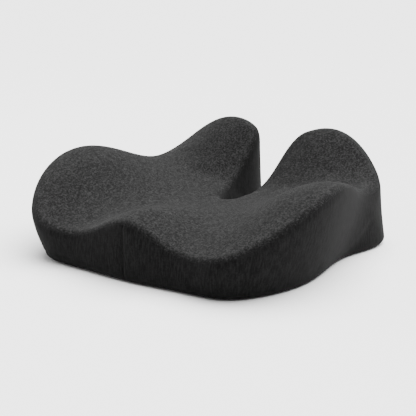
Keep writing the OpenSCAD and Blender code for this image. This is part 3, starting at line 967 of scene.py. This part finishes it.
stitch = {"thick": 0.17 * mm, "lift": 1.35, "tackStep": 0.42 * mm,
          "loop": ((-0.5, 1.6), (-0.46, 0.4), (-0.3, -0.15), (0, -0.3),
                   (0.3, -0.15), (0.46, 0.4), (0.5, 1.6))}


def makeStitch(length):  # one loop of thread, its ends going into the cloth
    path = [(along * length, 0, up * stitch["thick"]) for along, up in stitch["loop"]]
    return wound("stitch", path, stitch["thick"], sewingThread)


def makeStitchRow(node, name):
    found = islands(node)
    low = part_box(node)[0].z + stitch["lift"] * stitch["thick"]
    piece = spread(makeStitch(found[0][1][0]), [(x, y, low) for (x, y, _), _ in found], name)
    settle(piece, "cushion", "thread", node)
    print(name, len(found), "stitches")


def makeBarTacks(node, name):  # a close zigzag over the ends of the opening
    places = []
    found = islands(node)
    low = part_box(node)[0].z + stitch["lift"] * stitch["thick"]
    for (x, y, _), (_, long, _) in found:
        count = int(long / stitch["tackStep"])
        places += [(x, y - long / 2 + long * (k + 0.5) / count, low) for k in range(count)]
    piece = spread(makeStitch(found[0][1][0]), places, name)
    settle(piece, "cushion", "thread", node)


label = {"cuts": 16, "soft": 0.12 * mm, "curl": 0.14 * mm, "curlTurn": 160, "stitches": 9, "stitchShare": 0.7,
         "hem": 2 * mm, "sunk": 0.08 * mm}


def makeLabel():
    low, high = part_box("care_label")
    piece = plate("careLabel", low, high, labelSatin, label["cuts"], label["soft"])
    for v in piece.data.vertices:
        off = (v.co.y - low.y) / (high.y - low.y) - 0.5
        v.co.z -= label["curl"] * abs(off) * math.cos(v.co.x * label["curlTurn"])
    smoothByAngle(piece, hardAngle)
    settle(piece, "cushion", "label", "care_label")
    step = (high.x - low.x) / label["stitches"]
    places = [(low.x + step * (k + 0.5), y, low.z + label["sunk"])
              for y in (low.y + label["hem"], high.y - label["hem"]) for k in range(label["stitches"])]
    rows = spread(makeStitch(step * label["stitchShare"]), places, "labelStitches")
    settle(rows, "cushion", "thread")


makeBasePanel("baseFrontPanel", -1, "base_front_panel")
makeBasePanel("baseRearPanel", 1, "base_rear_panel")
makeLinerBase()
print("base and liner made")
for node, name in (("grip_dots_edge", "gripDotsEdge"), ("grip_dots_front", "gripDotsFront"),
                   ("grip_dots_rear", "gripDotsRear")):
    makeDots(node, name)
for row, name, side in (("front", "Front", -1), ("rear", "Rear", 1)):
    makeTape("zipper_tape_" + row, "zipTape" + name, side)
    makeCoil("zipper_coil_" + row, "zipCoil" + name, side)
    makeStitchRow("zip_stitches_" + row, "zipStitches" + name)
makeHardware("zipper_slider", "zipSlider", "slider", "zip_metal", zipEnamel, 0.16 * mm)
makeHardware("zipper_pull_tab", "zipPullTab", "pull_tab", "zip_metal", zipEnamel, 0.2 * mm)
makeHardware("zipper_top_stop", "zipTopStop", "cushion", "zip_stop", zipStop, 0.4 * mm)
makeHardware("zipper_bottom_stop", "zipBottomStop", "cushion", "zip_stop", zipStop, 0.4 * mm)
makeBarTacks("zip_bar_tacks", "zipBarTacks")
makeLabel()
print("zip, thread and label made")


# Camera, light and floor

view = {"azimuth": 35.3, "elevation": 15, "distance": 1.59, "lens": 96, "sensor": 36,
        "target": (-0.0221, 0.0175, 0.0478)}


def setCamera():
    a, e = math.radians(view["azimuth"]), math.radians(view["elevation"])
    back = Vector((math.sin(a) * math.cos(e), -math.cos(a) * math.cos(e), math.sin(e)))
    bpy.ops.object.camera_add(location=Vector(view["target"]) + back * view["distance"])
    camera = bpy.context.object
    camera.rotation_euler = (-back).to_track_quat("-Z", "Y").to_euler()
    camera.data.lens = view["lens"]
    camera.data.sensor_width = view["sensor"]
    bpy.context.scene.camera = camera


studio = {
    "sun": {"place": (0.1, 0.35, 1), "spread": 75, "energy": 12},
    "left": {"place": (-1.5, -0.35, 0.5), "size": 0.9, "energy": 11},
    "right": {"place": (1.5, 0.55, 0.45), "size": 0.9, "energy": 1.2},
    "sky": 0.35, "floorSize": 40, "floorColour": (0.93, 0.93, 0.93, 1),
}


def setLamp(kind, place, energy, size=0, spread=0):
    bpy.ops.object.light_add(type=kind, location=place)
    lamp = bpy.context.object
    lamp.rotation_euler = Vector(place).to_track_quat("Z", "Y").to_euler()
    lamp.data.energy = energy
    if kind == "SUN":
        lamp.data.angle = math.radians(spread)
    else:
        lamp.data.size = size


def floorBuild(place):
    return {"Roughness": place.noise(3) * 0.1 + 0.8}


def setStage():
    bpy.ops.mesh.primitive_plane_add(size=studio["floorSize"])
    floor = bpy.context.object
    floor.name = "floor"
    floor.data.materials.append(finish("paleFloor", floorBuild, Base_Color=studio["floorColour"]))
    world = bpy.data.worlds.new("studio")
    bpy.context.scene.world = world
    world.use_nodes = True
    sky = world.node_tree.nodes["Background"].inputs
    sky["Color"].default_value = (1, 1, 1, 1)
    sky["Strength"].default_value = studio["sky"]
    setLamp("SUN", **studio["sun"])
    setLamp("AREA", **studio["left"])
    setLamp("AREA", **studio["right"])


setCamera()
setStage()
print("camera, light and floor set")
